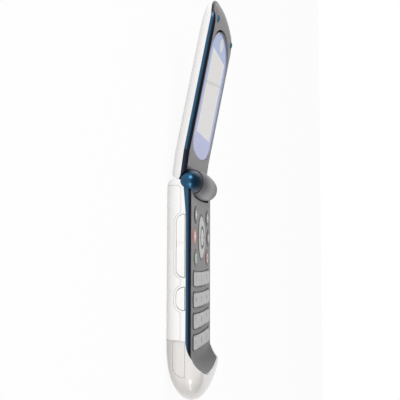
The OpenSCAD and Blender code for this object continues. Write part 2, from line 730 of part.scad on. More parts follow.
module side_connector() color("silver") place_base() difference() {
  block(flap_x + 1.6, -cavity_w + 1.2, port_y - port[0] / 2, port_y + port[0] / 2,
        port_z - port[1] / 2, port_z + port[1] / 2);
  block(-far, -cavity_w + 0.5, port_y - port[0] / 2 + 0.35, port_y + port[0] / 2 - 0.35,
        port_z - port[1] / 2 + 0.35, port_z + port[1] / 2 - 0.35);
}
antenna_x = cavity_w - 1;
antenna_y = base_reach - 12.5;
antenna_l = 4.3;
antenna_h = 4;
module antenna() color("darkkhaki") place_base() difference() {
  block(-antenna_x, antenna_x, -antenna_y - antenna_l, -antenna_y, trim_z - antenna_h, trim_z - seat);
  block(-antenna_x + 1, antenna_x - 1, -antenna_y - antenna_l - 1, -antenna_y - 1, trim_z - antenna_h + 1, trim_z - 1);
}
head_r = 1.3;
chin_head = 0.7;        // rest face to the chin screws' heads
module housing_screws() color("silver") place_base() for (p = screw_spots)
  translate([p[0], p[1], 0]) {
    low = p[1] > -chin_seam ? floor_z - 0.9 : chin_head;
    translate([0, 0, low]) cylinder(r = head_r, h = 0.85, $fn = 32);
    translate([0, 0, low]) cylinder(r = screw_r, h = plate_z + 0.3 - low, $fn = 32);
  }

// Side keys
module side_key_form(y, len, flange_x) {
  along_x(-half_w - side_proud, -inner_w + 0.5) side_outline(y, len, 0);
  along_x(flange_x, flange_x + 0.4) side_outline(y, len, 0.4);
}
module volume_key() color("white") place_base() difference() {
  side_key_form(volume_y, volume_len, -inner_w + 0.45);
  // Dimple between the two ends
  translate([-half_w - side_proud - 4.6, -volume_y - volume_len / 2, -far]) cylinder(r = 4.9, h = 2 * far, $fn = 96);
}
module side_key() color("white") place_base() side_key_form(side_y, side_len, -inner_w + 0.1);

// Round keys
crown_r = 14;
module round_key(i) place_base() translate([round_spots()[i][0], round_spots()[i][1], 0]) {
  intersection() {
    translate([0, 0, flange_z]) cylinder(r = round_d / 2, h = far, $fn = 64);
    translate([0, 0, face_z + key_proud - crown_r]) sphere(crown_r, $fn = 128);
  }
  translate([0, 0, flange_z]) cylinder(r = round_d / 2 + flange_w, h = flange_t, $fn = 64);
  translate([0, 0, stem_z]) cylinder(r = 1.2, h = flange_z - stem_z + skin, $fn = 32);
}
module softkey_left() color("silver") round_key(0);
module softkey_right() color("silver") round_key(1);
module clear_key() color("lightpink") round_key(2);
module voice_key() color("silver") round_key(3);
module send_key() color("honeydew") round_key(4);
module end_key() color("mistyrose") round_key(5);

// Navigation ring, on a web that tilts the other way, and the select key in its middle
ring_flange_z = 9.4;
ring_flange_t = 0.2;
web_z = 8.95;
web_t = 0.2;
nav_crown_r = 90;
module nav_ring() color("silver") place_base() translate([0, -nav_y, 0]) difference() {
  union() {
    intersection() {
      translate([0, 0, ring_flange_z + ring_flange_t]) linear_extrude(far) oval(nav_a, nav_b, nav_end_r);
      translate([0, 0, face_z + key_proud + 0.1 - nav_crown_r]) sphere(nav_crown_r, $fn = 240);
    }
    translate([0, 0, ring_flange_z]) linear_extrude(ring_flange_t + skin)
      oval(nav_a + flange_w, nav_b + flange_w, nav_end_r + flange_w);
  }
  linear_extrude(far) oval(select_a + key_gap, select_b + key_gap, select_end_r + key_gap);
  translate([0, 0, 0]) linear_extrude(ring_flange_z + ring_flange_t + 0.1)
    oval(select_a + 2 * flange_w, select_b + 2 * flange_w, select_end_r + 2 * flange_w);
}
web_r = nav_a - 0.9;
module nav_web() color("lightgray") place_base() translate([0, -nav_y, web_z]) difference() {
  cylinder(r = web_r, h = web_t, $fn = 64);
  translate([0, 0, -1]) cylinder(r = web_r - 1.7, h = 3, $fn = 64);
}
select_crown_r = 40;
module select_key() color("silver") place_base() translate([0, -nav_y, 0]) {
  select_flange_z = ring_flange_z - 0.15;
  intersection() {
    translate([0, 0, select_flange_z]) linear_extrude(far) oval(select_a, select_b, select_end_r);
    translate([0, 0, face_z + key_proud + 0.1 - select_crown_r]) sphere(select_crown_r, $fn = 180);
  }
  translate([0, 0, select_flange_z]) linear_extrude(0.2)
    oval(select_a + flange_w, select_b + flange_w, select_end_r + flange_w);
  translate([0, 0, stem_z]) cylinder(r = 1.2, h = select_flange_z - stem_z + skin, $fn = 32);
}

// Number keys: each row is one curved band cut into three keys
row_split = 6.25;
split_gap = 0.12;
row_crown_r = 26;
module number_key(n, c) place_base() {
  x0 = c == 0 ? -far : c == 1 ? -row_split + split_gap : row_split + split_gap;
  x1 = c == 0 ? -row_split - split_gap : c == 1 ? row_split - split_gap : far;
  y = -row_y - row_pitch * n - row_h / 2;
  intersection() {
    translate([0, 0, flange_z]) linear_extrude(far) intersection() {
      row_shape(n, 0);
      translate([x0, -2 * far]) square([x1 - x0, 2 * far]);
    }
    translate([0, y + 0.3, face_z + key_proud - row_crown_r]) rod_x(row_crown_r, -far, far, 180);
  }
  translate([0, 0, flange_z]) linear_extrude(flange_t) intersection() {
    row_shape(n, flange_w);
    translate([max(x0, -row_w / 2), -2 * far]) square([min(x1, row_w / 2) - max(x0, -row_w / 2), 2 * far]);
  }
  translate([c == 1 ? 0 : (c - 1) * 12.2, y, stem_z]) cylinder(r = 1.2, h = flange_z - stem_z + skin, $fn = 32);
}
module key_1() color("silver") number_key(0, 0);
module key_2() color("silver") number_key(0, 1);
module key_3() color("silver") number_key(0, 2);
module key_4() color("silver") number_key(1, 0);
module key_5() color("silver") number_key(1, 1);
module key_6() color("silver") number_key(1, 2);
module key_7() color("silver") number_key(2, 0);
module key_8() color("silver") number_key(2, 1);
module key_9() color("silver") number_key(2, 2);
module key_star() color("silver") number_key(3, 0);
module key_0() color("silver") number_key(3, 1);
module key_hash() color("silver") number_key(3, 2);

// Lid form above the knee: a stack of rounded outlines from the back to the face
function lid_w(h) = half_w + min(
  h > -trim_r ? sqrt(trim_r * trim_r - pow(h + trim_r, 2)) - trim_r : 0,
  h < edge_r - lid_t ? sqrt(edge_r * edge_r - pow(h + lid_t - edge_r, 2)) - edge_r : 0);
function lid_e(h) = min(lid_reach,
  h > -roll_depth
    ? roll_start + sqrt(roll_r * roll_r - pow(roll_r + h, 2))
    : lid_reach - tip_back + tip_back * sqrt(max(0, 1 - pow((h + roll_depth) / (lid_t - roll_depth), 2))));
lid_levels = concat(
  [for (t = [0:15:90]) -trim_r * (1 - cos(t))],
  [for (t = [75:-15:45]) -lid_t + edge_r * (1 - cos(t))],
  [for (t = [0:15:90]) -roll_depth - (lid_t - roll_depth) * sin(t)]);
module lid_form() translate([0, 0, lid_face]) hull() for (h = lid_levels)
  translate([0, 0, max(h - skin, -lid_t)]) linear_extrude(skin)
    let (k = max(0, 1 + h / roll_depth))
      end_outline(lid_w(h), lid_e(h), tip_end_r + (face_end_r - tip_end_r) * k,
                  tip_corner_r + (face_corner_r - tip_corner_r) * k, knee);
// Lid form below the knee, with a rounded lower end
heel_low = lid_face - lid_t + (knee - heel_r) * tan(knee_tilt) + heel_r / cos(knee_tilt);
module heel_round() along_x(-far, far) translate([heel_r, heel_low]) difference() {
  translate([-heel_r - 3, -heel_r - 3]) square([heel_r + 3 - heel_r * sin(knee_tilt), heel_r + 3]);
  circle(heel_r, $fn = 96);
}
module heel_form() difference() {
  heel_frame() translate([0, 0, -lid_t]) along_y(-knee - 3, 0.6) section(half_w, lid_t, edge_r, trim_r);
  heel_round();
}
// The same form on the outlines of the lid form, so that the two join flush at the knee
module heel_shell() difference() {
  hull() for (h = lid_levels, end = [knee, -3])
    translate([-lid_w(h), end - skin, lid_face + max(h - skin, -lid_t) + (knee - end) * tan(knee_tilt)])
      cube([2 * lid_w(h), skin, skin]);
  heel_round();
}

// Space on the face's side of the lid's seam, moved towards the face by g
module over_seam(g) {
  along_x(-far, far) translate([0, lid_face]) polygon([
    [knee, -part_depth + g], [tip_seam_start, -part_depth + g], [lid_reach, -roll_depth + g],
    [lid_reach + 5, -roll_depth + g],
    [lid_reach + 5, far], [knee, far]]);
}
module heel_over_seam(g) along_x(-far, far) translate([0, lid_face - part_depth + g]) polygon([
  [knee + 0.6, 0], [knee, 0], [-3, (knee + 3) * tan(knee_tilt)], [-3, far], [knee + 0.6, far]]);
// Space inside the trims
module inside_trims(g) {
  linear_extrude(2 * far, center = true) {
    end_outline(inner_w - g, lid_reach - trim_w - g, tip_end_r - trim_w, tip_corner_r - trim_w, -far);
    mirror_copy() difference() {
      translate([0, taper_start]) square([half_w, trim_stop + 1 - taper_start]);
      translate([inner_w + taper_r, taper_start]) circle(taper_r + g, $fn = 360);
    }
    translate([-far, trim_stop + g]) square([2 * far, far]);
  }
}
module lid_hinge_space() caps_form(cap_gap, barrel_half);
// Thin trim round the tip, on the seam
band_w = 2;
band_start = 69;
module tip_band(g) difference() {
  linear_extrude(2 * far, center = true) difference() {
    translate([-far, band_start - g]) square([2 * far, far]);
    end_outline(half_w - band_w - g, lid_reach - band_w - g, tip_end_r - band_w, tip_corner_r - band_w, -far);
  }
  over_seam(seat + band_h + g);
}

cavity_x = 19.5;
module lid_outer_shell() color("white") place_lid() difference() {
  union() {
    difference() { lid_form(); over_seam(0); }
    difference() { heel_shell(); heel_over_seam(0); }
  }
  barrel_form(seat, -cap_x, cap_x);
  block(-far, far, -far, 0, -far, far);
  lid_hinge_space();
  block(-cavity_x, cavity_x, knee + 1.5, 66, lid_face - lid_t + wall, far);
  block(-ear_w / 2 - 0.3, ear_w / 2 + 0.3, 60, ear_y + ear_l / 2 + 0.3, lid_face - 4.9, far);
  mirror_copy() translate([bumper_x, bumper_y, lid_face - 1.2 - lid_screw_l]) cylinder(r = screw_r, h = far, $fn = 32);
}

window_end_r = 31;
window_corner_r = 12;
foot_end_r = 60;
foot_corner_r = 8;
ear_line_r = 6;
ear_line_y = 5.5;
module window_outline(g) {
  w = window_w / 2 + g;
  polygon(concat(
    end_points(w, window_top + g, window_end_r + g, window_corner_r + g),
    [for (p = end_points(w, -window_foot + g, foot_end_r + g, foot_corner_r + g)) [-p[0], -p[1]]]));
}
recess = window_sink + window_t + seat;
module_w = screen_w + 4.4;
module_h = screen_h + 6;
ear_y = window_top + ear_slot / 2;
ear_w = 12;
ear_l = 5;
ear_depth = 0.9;        // of the earpiece's gauze under the lid's face
mesh_t = 0.2;
// Crescent over the window
module ear_outline(g) difference() {
  translate([0, ear_slot]) window_outline(-g);
  window_outline(0.25 + g);
  translate([-far, -far]) square([2 * far, far + screen_y + screen_h / 2]);
}
module lid_front_frame() color("gray") place_lid() difference() {
  union() {
    intersection() { lid_form(); over_seam(seat); inside_trims(seat); }
    intersection() {
      heel_form();
      heel_over_seam(seat);
      block(-inner_w + seat, inner_w - seat, -far, far, -far, far);
      block(-far, far, 0, far, -far, far);
    }
    barrel_form(0, -barrel_half, barrel_half);
  }
  lid_hinge_space();
  tip_band(seat);
  // Line round the hinge's ears
  mirror_copy() heel_frame() translate([inner_w, ear_line_y - knee, -0.25]) linear_extrude(far) difference() {
    circle(ear_line_r + 0.12, $fn = 96);
    circle(ear_line_r - 0.12, $fn = 96);
  }
  translate([0, 0, lid_face - recess]) linear_extrude(far) window_outline(seat);
  block(-module_w / 2 - 0.2, module_w / 2 + 0.2, screen_y - module_h / 2 - 0.2, screen_y + module_h / 2 + 0.2, -far, far);
  translate([0, 0, lid_face - ear_depth - mesh_t - seat]) linear_extrude(far) ear_outline(0);
  block(-ear_w / 2 - 0.1, ear_w / 2 + 0.1, ear_y - ear_l / 2 - 0.1, ear_y + ear_l / 2 + 0.1, -far, lid_face - 1.35);
  mirror_copy() translate([bumper_x, bumper_y, lid_face - 1]) cylinder(r = bumper_d / 2 + seat, h = far, $fn = 48);
  mirror_copy() translate([bumper_x, bumper_y, lid_face - far]) cylinder(r = screw_r + seat, h = far, $fn = 32);
  rod_x(capsule_r, -far, barrel_half - 5.2, 64);
  rod_x(pin_r + pin_gap, 0, far, 64);
}

// Trims of the lid above and below the knee
module lid_trim() place_lid() difference() {
  intersection() {
    lid_form();
    over_seam(seat);
    block(seat / 2, far, knee + seat, 2 * far, -far, far);
  }
  difference() { inside_trims(0); tip_band(0); }
}
module lid_trim_left() color("steelblue") mirror([1, 0, 0]) lid_trim();
module lid_trim_right() color("steelblue") lid_trim();
module lid_trim_lower() color("darkslategray") place_lid() mirror_copy() difference() {
  intersection() {
    heel_form();
    heel_over_seam(seat);
    block(inner_w, far, 0, knee, -far, far);
  }
  lid_hinge_space();
}

module display_window() color("lavender") place_lid()
  translate([0, 0, lid_face - window_sink - window_t]) linear_extrude(window_t) window_outline(-seat);
module display_module() color("darkgray") place_lid() translate([0, screen_y, lid_face - recess - seat]) difference() {
  block(-module_w / 2, module_w / 2, -module_h / 2, module_h / 2, -2.6, 0);
  block(-screen_w / 2, screen_w / 2, -screen_h / 2, screen_h / 2, -0.15, 1);
}
module earpiece() color("dimgray") place_lid()
  block(-ear_w / 2, ear_w / 2, ear_y - ear_l / 2, ear_y + ear_l / 2, lid_face - 4.8, lid_face - 1.5);
module ear_mesh() color("black") place_lid()
  translate([0, 0, lid_face - ear_depth - mesh_t]) linear_extrude(mesh_t) ear_outline(seat);
bumper_dome = 2.3;
module lid_bumpers() color("teal") place_lid() mirror_copy() translate([bumper_x, bumper_y, lid_face]) intersection() {
  translate([0, 0, -0.95]) cylinder(r = bumper_d / 2, h = 0.95 + face_gap - seat, $fn = 48);
  translate([0, 0, face_gap - seat - bumper_dome]) sphere(bumper_dome, $fn = 96);
}
lid_screw_l = 3.4;
module lid_screws() color("silver") place_lid() mirror_copy() translate([bumper_x, bumper_y, lid_face - 1.05]) {
  translate([0, 0, -lid_screw_l]) cylinder(r = screw_r, h = lid_screw_l + 0.05, $fn = 32);
}

rear_housing();
battery_cover();
keypad_housing();
trim_left();
trim_right();
chin_cap();
hinge_cap_left();
hinge_cap_right();
hinge_shaft();
hinge_pin();
keymat();
dome_sheet();
circuit_board();
rf_shield();
battery();
sim_holder();
microphone();
ringer();
vibration_motor();
side_connector();
antenna();
housing_screws();
connector_cover();
volume_key();
side_key();
softkey_left();
softkey_right();
clear_key();
voice_key();
send_key();
end_key();
nav_web();
nav_ring();
select_key();
key_1();
key_2();
key_3();
key_4();
key_5();
key_6();
key_7();
key_8();
key_9();
key_star();
key_0();
key_hash();
lid_outer_shell();
lid_front_frame();
lid_trim_left();
lid_trim_right();
lid_trim_lower();
display_window();
display_module();
earpiece();
ear_mesh();
lid_bumpers();
lid_screws();
hinge_capsule();
hinge_spring();
hinge_flex();
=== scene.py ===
import math

import bmesh
import bpy
from mathutils import Matrix, Vector
from mathutils.bvhtree import BVHTree


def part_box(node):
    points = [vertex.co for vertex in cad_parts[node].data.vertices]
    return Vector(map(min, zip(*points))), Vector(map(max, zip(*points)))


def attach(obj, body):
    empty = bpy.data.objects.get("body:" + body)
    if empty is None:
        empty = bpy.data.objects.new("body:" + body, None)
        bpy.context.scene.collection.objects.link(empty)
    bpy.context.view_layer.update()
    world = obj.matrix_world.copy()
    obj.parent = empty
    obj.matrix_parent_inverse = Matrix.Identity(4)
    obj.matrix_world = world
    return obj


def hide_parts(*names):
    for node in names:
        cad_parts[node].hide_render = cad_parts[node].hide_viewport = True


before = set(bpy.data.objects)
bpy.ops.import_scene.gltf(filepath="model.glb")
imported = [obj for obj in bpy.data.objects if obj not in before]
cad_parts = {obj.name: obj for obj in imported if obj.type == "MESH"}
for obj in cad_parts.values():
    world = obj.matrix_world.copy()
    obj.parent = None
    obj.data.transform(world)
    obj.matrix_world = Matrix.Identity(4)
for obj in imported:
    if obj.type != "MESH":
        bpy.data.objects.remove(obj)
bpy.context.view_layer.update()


# ---------------------------------------------------------------------------------------------
# Camera: a short telephoto lens off the phone's left side, a little above its keypad.
# It is held upright to the phone's length, so the lid's tip is at the top of the picture.
# ---------------------------------------------------------------------------------------------
mm = 0.001
picture_right = Vector((0.1876, 0.0032, 0.9822)).normalized()
picture_down = Vector((0.0826, -0.9965, -0.0126)).normalized()
sight = picture_right.cross(picture_down)
eye = Vector((-292.37, 6.02, 66.41)) * mm


def in_scene(name, data):
    """A new object of this data, put into the scene."""
    placed = bpy.data.objects.new(name, data)
    bpy.context.scene.collection.objects.link(placed)
    return placed


camera = in_scene("camera", bpy.data.cameras.new("camera"))
camera.data.sensor_width = 36
camera.data.lens = 60.36
camera.data.clip_start = 0.01
turn = Matrix((picture_right, -picture_down, -sight)).transposed()
camera.matrix_world = Matrix.Translation(eye) @ turn.to_4x4()
bpy.context.scene.camera = camera
bpy.context.scene.view_settings.view_transform = "Standard"


# ---------------------------------------------------------------------------------------------
# White gloss shell: moulded plastic under clear lacquer, with a faint orange peel.
# A finish is a material made by Finish, and its maths is written as Python on Value objects.
# ---------------------------------------------------------------------------------------------
class Value:
    """An output of a node; an expression on it adds Math nodes."""

    def __init__(self, shading, socket):
        self.shading = shading
        self.socket = socket

    def math(self, operation, *values):
        settings = {"operation": operation}
        return self.shading.node("ShaderNodeMath", settings, dict(enumerate(values)))

    def __add__(self, other):
        return self.math("ADD", self, other)

    __radd__ = __add__

    def __sub__(self, other):
        return self.math("SUBTRACT", self, other)

    def __rsub__(self, other):
        return self.math("SUBTRACT", other, self)

    def __mul__(self, other):
        return self.math("MULTIPLY", self, other)

    __rmul__ = __mul__

    def __abs__(self):
        return self.math("ABSOLUTE", self)

    def __gt__(self, other):
        return self.math("GREATER_THAN", self, other)

    def __or__(self, other):
        return self.math("MAXIMUM", self, other)

    def __and__(self, other):
        return self.math("MINIMUM", self, other)

    def ramp(self, start, end, kind="SMOOTHSTEP"):
        """0 at start and before it, 1 at end and past it, smooth or LINEAR between."""
        settings = {"interpolation_type": kind}
        return self.shading.node("ShaderNodeMapRange", settings, {0: self, 1: start, 2: end})


def srgb(red, green, blue):
    """A colour as it is read off a screen, 0 to 255, in linear light."""
    channels = [c / 255 for c in (red, green, blue)]
    linear = [c / 12.92 if c <= 0.04045 else ((c + 0.055) / 1.055) ** 2.4 for c in channels]
    return (*linear, 1)


class Shading:
    """The nodes of a material or of the world."""

    def __init__(self, holder):
        holder.use_nodes = True
        self.tree = holder.node_tree

    def node(self, kind, settings, sockets, out=0):
        """A node of this kind, set up and plugged in: its output `out`, or all of it."""
        made = self.tree.nodes.new(kind)
        for setting, value in settings.items():
            setattr(made, setting, value)
        for socket, value in sockets.items():
            self.plug(made.inputs[socket], value)
        return made if out is None else Value(self, made.outputs[out])

    def plug(self, socket, value):
        if isinstance(value, Value):
            self.tree.links.new(value.socket, socket)
        else:
            socket.default_value = value

    def apart(self, vector):
        """The X, Y and Z of a vector."""
        split = self.node("ShaderNodeSeparateXYZ", {}, {0: vector}, out=None)
        return [Value(self, socket) for socket in split.outputs]

    def ray(self, kind):
        """1 for rays of this kind, such as Is Camera Ray."""
        return self.node("ShaderNodeLightPath", {}, {}, out=kind)


class Finish(Shading):
    """A Principled material whose constants sit on the shader's own sockets."""

    def __init__(self, name, colour, **constants):
        self.material = bpy.data.materials.new(name)
        super().__init__(self.material)
        self.shader = self.tree.nodes["Principled BSDF"]
        self.set("Base Color", colour)
        for socket, value in constants.items():
            self.set(socket.replace("_", " "), value)
        metres = self.node("ShaderNodeTexCoord", {}, {}, out="Object")
        sockets = {"Vector": metres, "Scale": 1 / mm}
        self.place = self.node("ShaderNodeVectorMath", {"operation": "SCALE"}, sockets)
        self.x, self.y, self.z = self.apart(self.place)

    def set(self, socket, value):
        self.plug(self.shader.inputs[socket], value)

    def mix(self, share, base, other):
        sockets = {0: share, 6: base, 7: other}
        return self.node("ShaderNodeMix", {"data_type": "RGBA"}, sockets, out=2)

    def noise(self, size, detail=2.0, squeeze=(1, 1, 1)):
        """Soft random values, 0 to 1, in patches of about this many millimetres."""
        sockets = {0: self.place, 1: squeeze}
        stretched = self.node("ShaderNodeVectorMath", {"operation": "MULTIPLY"}, sockets)
        sockets = {"Vector": stretched, "Scale": 1 / size, "Detail": detail}
        return self.node("ShaderNodeTexNoise", {}, sockets)

    def relief(self, height, depth):
        """Bumps of this depth in millimetres."""
        sockets = {"Strength": 1.0, "Distance": depth * mm, "Height": height}
        self.set("Normal", self.node("ShaderNodeBump", {}, sockets))

    def on(self, *names):
        """Gives this finish to CAD pieces."""
        for name in names:
            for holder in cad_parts[name].material_slots:
                holder.material = self.material


def gloss_shell(name, colour, low):
    """Lacquered white plastic that greys towards the colour `low` in broad, faint clouds."""
    shell = Finish(name, colour, Roughness=0.34, Coat_Weight=0.35, Coat_Roughness=0.12)
    clouds = shell.noise(9.0, 3.0)
    shell.colour = shell.mix(clouds * 0.5, colour, low)
    shell.set("Base Color", shell.colour)
    grain = shell.noise(0.35, 2.0)
    shell.set("Roughness", 0.3 + grain * 0.1)
    shell.relief(grain, 0.006)
    return shell


white_shell = gloss_shell("white_gloss_shell", srgb(228, 227, 226), srgb(222, 221, 219))
white_shell.on("rear_housing", "battery_cover", "lid_outer_shell", "volume_key", "side_key")


crease = math.radians(32)


def smooth_copy(name, body, finish):
    """A copy of a CAD piece whose rounded faces are shaded smooth, in place of its flat facets."""
    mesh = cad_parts[name].data.copy()
    mesh.name = name + "_skin"
    shape = bmesh.new()
    shape.from_mesh(mesh)
    bmesh.ops.remove_doubles(shape, verts=shape.verts, dist=0.002 * mm)
    bmesh.ops.dissolve_degenerate(shape, dist=0.001 * mm, edges=shape.edges)
    for face in shape.faces:
        face.smooth = True
    for edge in shape.edges:
        edge.smooth = edge.is_manifold and edge.calc_face_angle(0) < crease
    shape.to_mesh(mesh)
    shape.free()
    mesh.materials.clear()
    mesh.materials.append(finish.material)
    skin = in_scene(name + "_skin", mesh)
    fair = skin.modifiers.new("fair", "WEIGHTED_NORMAL")
    fair.keep_sharp = True
    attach(skin, body)
    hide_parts(name)


smooth_copy("lid_outer_shell", "lid", white_shell)


# ---------------------------------------------------------------------------------------------
# Chin cap: the same plastic in a shade greyer, with its dished inside lip.
# It is one moulding screwed on from below, and carries the flap over the side connector.
# ---------------------------------------------------------------------------------------------
pin_low, pin_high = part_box("hinge_pin")
hinge_y = (pin_low.y + pin_high.y) / 2 / mm
hinge_z = (pin_low.z + pin_high.z) / 2 / mm
chin_bend, chin_tip = 78, 94
chin_shell = gloss_shell("chin_pearl_shell", srgb(210, 207, 204), srgb(202, 199, 195))
# Painted shade: the cap darkens towards its lower end and towards its underside.
painted_shade = (hinge_y - chin_shell.y).ramp(chin_bend, chin_tip) * 0.55 + chin_shell.z.ramp(7, 0) * 0.4
chin_shell.set("Base Color", chin_shell.mix(painted_shade, chin_shell.colour, srgb(168, 162, 156)))
chin_shell.set("Coat Weight", 0.8)
chin_shell.set("Coat Roughness", 0.08)
chin_shell.on("connector_cover")
smooth_copy("chin_cap", "base", chin_shell)


# ---------------------------------------------------------------------------------------------
# Silver-grey inner panels: keypad plate, dished chin panel, display frame and hinge barrel.
# Moulded plastic, sprayed with a fine metallic lacquer that is a little worn to a shine.
# ---------------------------------------------------------------------------------------------
def grey_panel(name, colour, low):
    """Metallic lacquer: fine flakes in the colour and the gloss, over broad faint clouds."""
    panel = Finish(name, colour, Metallic=0.25, Coat_Weight=0.12, Coat_Roughness=0.3)
    flakes = panel.noise(0.16, 1.0)
    clouds = panel.noise(7.0, 3.0)
    panel.colour = panel.mix(clouds * 0.6 + flakes * 0.3, colour, low)
    panel.set("Base Color", panel.colour)
    panel.set("Roughness", 0.36 + flakes * 0.16)
    panel.relief(flakes, 0.004)
    return panel


lid_tilt = math.radians(11.3)


def along_lid(finish):
    """How far a point is from the hinge along the lid, in millimetres."""
    return (finish.y - hinge_y) * math.cos(lid_tilt) + (finish.z - hinge_z) * math.sin(lid_tilt)


def over_lid(finish):
    """How far a point is from the hinge out of the lid's face, in millimetres."""
    return (finish.z - hinge_z) * math.cos(lid_tilt) - (finish.y - hinge_y) * math.sin(lid_tilt)


keypad_panel = grey_panel("silver_grey_keypad", srgb(139, 137, 138), srgb(124, 122, 124))
shade_from, shade_to = 15, 82
# Painted shade: the plate darkens towards the dished chin panel.
painted_shade = (hinge_y - keypad_panel.y).ramp(shade_from, shade_to)
colour = keypad_panel.mix(painted_shade * 0.8, keypad_panel.colour, srgb(92, 91, 94))
plate_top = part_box("trim_right")[1].z / mm
dish_start = -35
# Painted shade: the walls of the key holes, just below the plate's top, are painted dark.
painted_key_hole_shade = keypad_panel.z.ramp(plate_top - 0.06, plate_top - 0.14) * (keypad_panel.y > dish_start)
keypad_panel.set("Base Color", keypad_panel.mix(painted_key_hole_shade * 0.9, colour, srgb(40, 34, 36)))

barrel_r = 6.5
barrel_clear, barrel_dark = 1, 15.5
tip_from, tip_full = 70, 72
seam_depth, seam_rise_from, seam_slope = 4.3, 70.5, 0.236
lid_panel = grey_panel("silver_grey_lid", srgb(143, 141, 140), srgb(130, 128, 128))
off_y, off_z = lid_panel.y - hinge_y, lid_panel.z - hinge_z
# Painted shade: the hinge barrel darkens towards its ends beside the caps.
on_barrel = (off_y * off_y + off_z * off_z).ramp((barrel_r + 0.1) ** 2, (barrel_r - 0.1) ** 2)
painted_barrel_shade = on_barrel * abs(lid_panel.x).ramp(barrel_clear, barrel_dark)
colour = lid_panel.mix(painted_barrel_shade * 0.9, lid_panel.colour, srgb(52, 50, 64))
# Painted reflection: the frame's rolled edge at the lid's tip, next to the seam, is painted dark.
over_seam = over_lid(lid_panel) + seam_depth + (along_lid(lid_panel) - seam_rise_from) * seam_slope
painted_tip_reflection = along_lid(lid_panel).ramp(tip_from, tip_full) * over_seam.ramp(1.7, 0.9)
lid_panel.set("Base Color", lid_panel.mix(painted_tip_reflection * 0.9, colour, srgb(30, 30, 40)))

keypad_panel.on("keypad_housing")
smooth_copy("keypad_housing", "base", keypad_panel)
smooth_copy("lid_front_frame", "lid", lid_panel)


# ---------------------------------------------------------------------------------------------
# Blue side trims and hinge caps: glossy metallic strips clipped in along both halves.
# The outer half of each strip is steel blue, and the half beside the panels is a painted
# reflection, almost black.
# ---------------------------------------------------------------------------------------------
trim_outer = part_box("trim_right")[1].x / mm
dark_to, blue_from = trim_outer - 0.42, trim_outer - 0.08
cap_dark_to, cap_blue_from = 18.4, 23.4
lid_knee = 12.2


def blue_metal(name, colour, low, metallic=0.6):
    """Glossy metallic paint, with streaks along the strip."""
    trim = Finish(name, colour, Metallic=metallic, Coat_Weight=0.2, Coat_Roughness=0.12)
    streaks = trim.noise(0.5, 3.0, squeeze=(1, 0.08, 1))
    trim.set("Roughness", 0.24 + streaks * 0.14)
    trim.relief(streaks, 0.003)
    trim.streaks, trim.colour, trim.low = streaks, colour, low
    return trim


strip = blue_metal("blue_strip", srgb(36, 80, 108), srgb(32, 34, 52))
# Painted reflection: the half of each strip beside the panels is painted almost black, and its
# outer half steel blue.
shade = abs(strip.x).ramp(dark_to, blue_from)
# Painted shade: a dark line at the lid's knee, where its trims meet.
shade = shade * (1 - abs(along_lid(strip) - lid_knee).ramp(0.5, 0.3))
strip.set("Base Color", strip.mix(shade * (0.85 + strip.streaks * 0.3), strip.low, strip.colour))
strip.on("trim_left", "trim_right", "lid_trim_left", "lid_trim_right")
for side in ("left", "right"):
    smooth_copy("lid_trim_" + side, "lid", strip)

dark_strip = blue_metal("navy_strip", srgb(30, 40, 62), srgb(24, 26, 40))
dark_strip.set("Base Color", dark_strip.mix(dark_strip.streaks, dark_strip.low, dark_strip.colour))
dark_strip.on("lid_trim_lower")

cap_metal = blue_metal("blue_cap", srgb(34, 80, 110), srgb(32, 32, 46), 0.9)
# Painted reflection: each cap is blue at its outer end and painted almost black towards the
# barrel.
shade = abs(cap_metal.x).ramp(cap_dark_to, cap_blue_from) * (0.9 + cap_metal.streaks * 0.2)
cap_metal.set("Base Color", cap_metal.mix(shade, cap_metal.low, cap_metal.colour))
cap_metal.on("hinge_cap_left", "hinge_cap_right")


# ---------------------------------------------------------------------------------------------
# Keys: hard silver-grey caps on a rubber mat, each a little crowned and satin on top.
# The clear key is pink, and the call keys are tinted green and red.
# ---------------------------------------------------------------------------------------------
key_foot = plate_top + 0.34


def key_plastic(name, colour, low, foot=0.0):
    """Satin plastic; painted shade darkens a key's sides and lowest edge, by the share `foot`."""
    cap = Finish(name, colour, Coat_Weight=0.25, Coat_Roughness=0.25)
    grain = cap.noise(0.25, 2.0)
    wear = cap.noise(2.6, 2.0)
    cap.top = cap.mix(wear * 0.7, colour, low)
    painted_flank_shade = cap.z.ramp(key_foot + 0.12, key_foot) * foot
    cap.set("Base Color", cap.mix(painted_flank_shade, cap.top, srgb(40, 32, 34)))
    cap.set("Roughness", 0.34 + grain * 0.14)
    cap.relief(grain, 0.004)
    return cap


key_silver = key_plastic("key_silver", srgb(182, 182, 181), srgb(158, 158, 158), 0.95)
number_keys = ["key_" + name for name in "1 2 3 4 5 6 7 8 9 star 0 hash".split()]
key_silver.on("softkey_left", "softkey_right", "voice_key", *number_keys)


ring_half, select_half, hole_half = (7.9, 9.9), (3.5, 4.05), (3.75, 4.3)


def round_the_middle(cap, half):
    """1 on an oval of this half size round the navigation key's middle, less inside it."""
    low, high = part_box("nav_ring")
    across = (cap.x - (low.x + high.x) / 2 / mm) * (1 / half[0])
    along = (cap.y - (low.y + high.y) / 2 / mm) * (1 / half[1])
    return across * across + along * along


nav_silver = key_plastic("key_silver_nav", srgb(194, 194, 193), srgb(180, 180, 180))
# Painted shade: dark edges round the navigation ring's outside and round its middle hole.
painted_hole_shade = round_the_middle(nav_silver, hole_half).ramp(1.7, 1.3)
edge = round_the_middle(nav_silver, ring_half).ramp(0.8, 0.92) | painted_hole_shade
nav_silver.set("Base Color", nav_silver.mix(edge * 0.95, nav_silver.top, srgb(44, 40, 44)))
nav_silver.on("nav_ring")
select_silver = key_plastic("key_silver_select", srgb(202, 202, 201), srgb(190, 190, 190))
